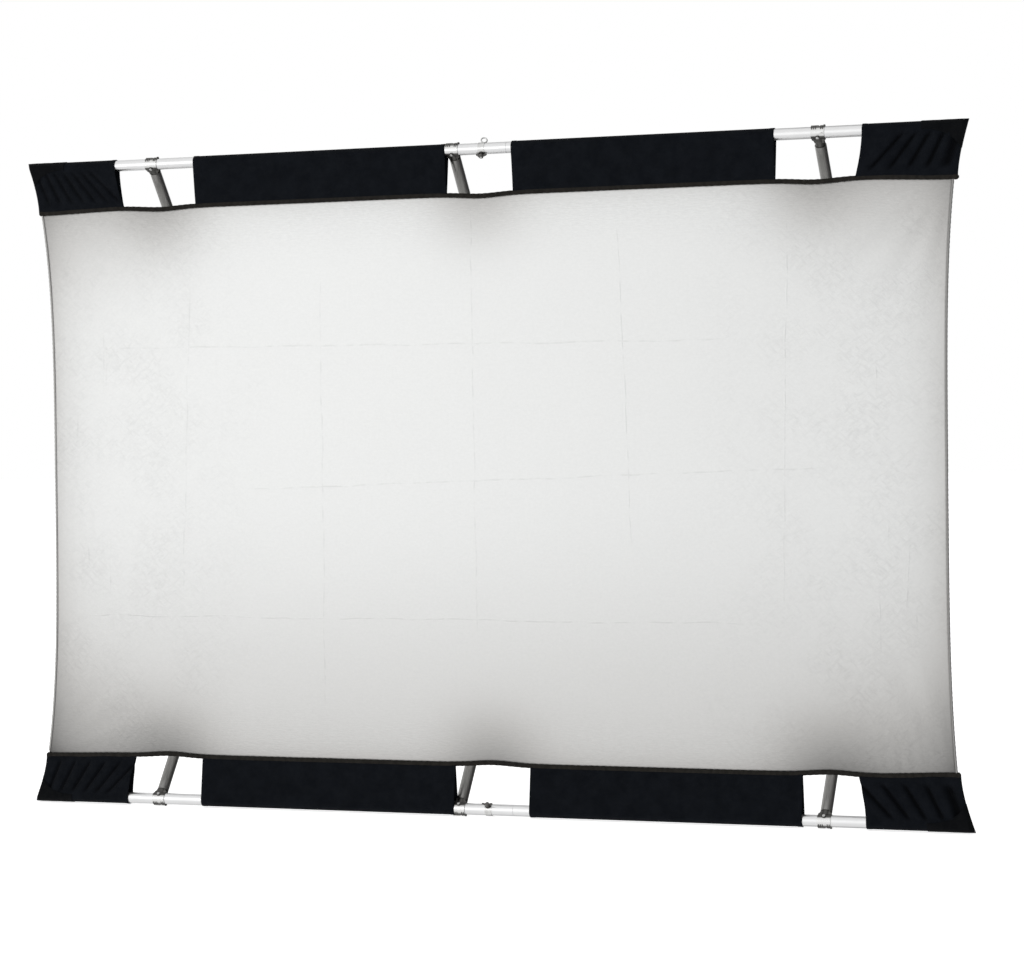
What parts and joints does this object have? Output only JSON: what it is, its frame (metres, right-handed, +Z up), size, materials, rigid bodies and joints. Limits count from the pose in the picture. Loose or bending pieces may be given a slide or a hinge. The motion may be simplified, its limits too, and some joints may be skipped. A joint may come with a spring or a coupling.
{
  "type": "take-down reflector panel",
  "caption": "Large rectangular silver reflector: an elastic screen with black sleeves on take-down tube rails, braced by bent crossbars behind.",
  "frame": {"origin": "middle of the bottom of the panel's bounding box", "axes": "+X along the rails to the right as seen from the silver side, +Y away from the silver side, +Z up across the panel"},
  "size_m": [1.911, 0.1286, 1.3075],
  "materials": {
    "satin_rail": "natural satin anodised tube",
    "inner_tube": "plain drawn tube",
    "grey_bar": "grey satin anodised tube",
    "cast_fitting": "smooth casting, tumbled",
    "bright_hardware": "zinc plated steel",
    "dark_hardware": "blackened steel",
    "cap_plastic": "moulded",
    "silver_cloth": "metallised stretch weave, silver front",
    "black_cloth": "dense black nylon weave",
    "trim_elastic": "woven elastic binding, brown-black",
    "hem_elastic": "grey elastic hem"
  },
  "bodies": {
    "left_half": {"top_rail_left": "satin_rail", "bottom_rail_left": "satin_rail", "top_rail_spigot": "inner_tube", "bottom_rail_spigot": "inner_tube", "left_end_caps": "cap_plastic", "bottom_bolt": "dark_hardware", "top_strap": "bright_hardware", "bottom_strap": "bright_hardware", "silver_screen": "silver_cloth", "top_trim": "trim_elastic", "bottom_trim": "trim_elastic", "left_hem": "hem_elastic", "top_left_corner_sleeve": "black_cloth", "bottom_left_corner_sleeve": "black_cloth", "top_left_corner_patch": "black_cloth", "bottom_left_corner_patch": "black_cloth", "top_left_sleeve": "black_cloth", "top_right_sleeve": "black_cloth", "bottom_left_sleeve": "black_cloth", "bottom_right_sleeve": "black_cloth"},
    "right_half": {"top_rail_right": "satin_rail", "bottom_rail_right": "satin_rail", "right_end_caps": "cap_plastic", "right_hem": "hem_elastic", "top_right_corner_sleeve": "black_cloth", "bottom_right_corner_sleeve": "black_cloth", "top_right_corner_patch": "black_cloth", "bottom_right_corner_patch": "black_cloth"},
    "left_bar": {"left_crossbar": "grey_bar", "top_left_tee": "cast_fitting", "bottom_left_tee": "cast_fitting", "left_tee_screws": "bright_hardware"},
    "middle_bar": {"middle_crossbar": "grey_bar", "top_middle_tee": "cast_fitting", "bottom_middle_tee": "cast_fitting", "middle_tee_screws": "bright_hardware"},
    "right_bar": {"right_crossbar": "grey_bar", "top_right_tee": "cast_fitting", "bottom_right_tee": "cast_fitting", "right_tee_screws": "bright_hardware"},
    "eye_bolt": {"top_eye_bolt": "bright_hardware"},
    "top_washer": {"top_washer": "dark_hardware"},
    "top_wing_nut": {"top_wing_nut": "dark_hardware"},
    "bottom_washer": {"bottom_washer": "dark_hardware"},
    "bottom_wing_nut": {"bottom_wing_nut": "dark_hardware"}
  },
  "joints": [
    {"name": "halves_pull_apart", "type": "slide", "parent": "left_half", "child": "right_half", "axis": [1, 0, 0], "range_m": [0, 0.09]},
    {"name": "left_bar_slide", "type": "slide", "parent": "left_half", "child": "left_bar", "axis": [1, 0, 0], "range_m": [-0.045, 0.065]},
    {"name": "middle_bar_slide", "type": "slide", "parent": "left_half", "child": "middle_bar", "axis": [1, 0, 0], "range_m": [0, 0.03]},
    {"name": "right_bar_slide", "type": "slide", "parent": "right_half", "child": "right_bar", "axis": [1, 0, 0], "range_m": [-0.022, 0.05]},
    {"name": "eye_bolt_turn", "type": "hinge", "parent": "left_half", "child": "eye_bolt", "pos_m": [0.022, -0.04671, 1.2844], "axis": [0, 0.5, 0.866], "continuous": true},
    {"name": "top_washer_travel", "type": "slide", "parent": "eye_bolt", "child": "top_washer", "axis": [0, -0.5, -0.866], "range_m": [0, 0.0048]},
    {"name": "top_nut_turn", "type": "hinge", "parent": "top_washer", "child": "top_wing_nut", "pos_m": [0.022, -0.05521, 1.26968], "axis": [0, -0.5, -0.866], "range_deg": [0, 2161]},
    {"name": "bottom_washer_travel", "type": "slide", "parent": "left_half", "child": "bottom_washer", "axis": [0, -0.7431, 0.6691], "range_m": [0, 0.0048]},
    {"name": "bottom_nut_turn", "type": "hinge", "parent": "bottom_washer", "child": "bottom_wing_nut", "pos_m": [0.022, -0.05934, 0.02578], "axis": [0, -0.7431, 0.6691], "range_deg": [0, 2161]}
  ],
  "couplings": [
    {"joint": "top_nut_turn", "follows": "top_washer_travel", "rad_per_m": 7854},
    {"joint": "bottom_nut_turn", "follows": "bottom_washer_travel", "rad_per_m": 7854}
  ]
}
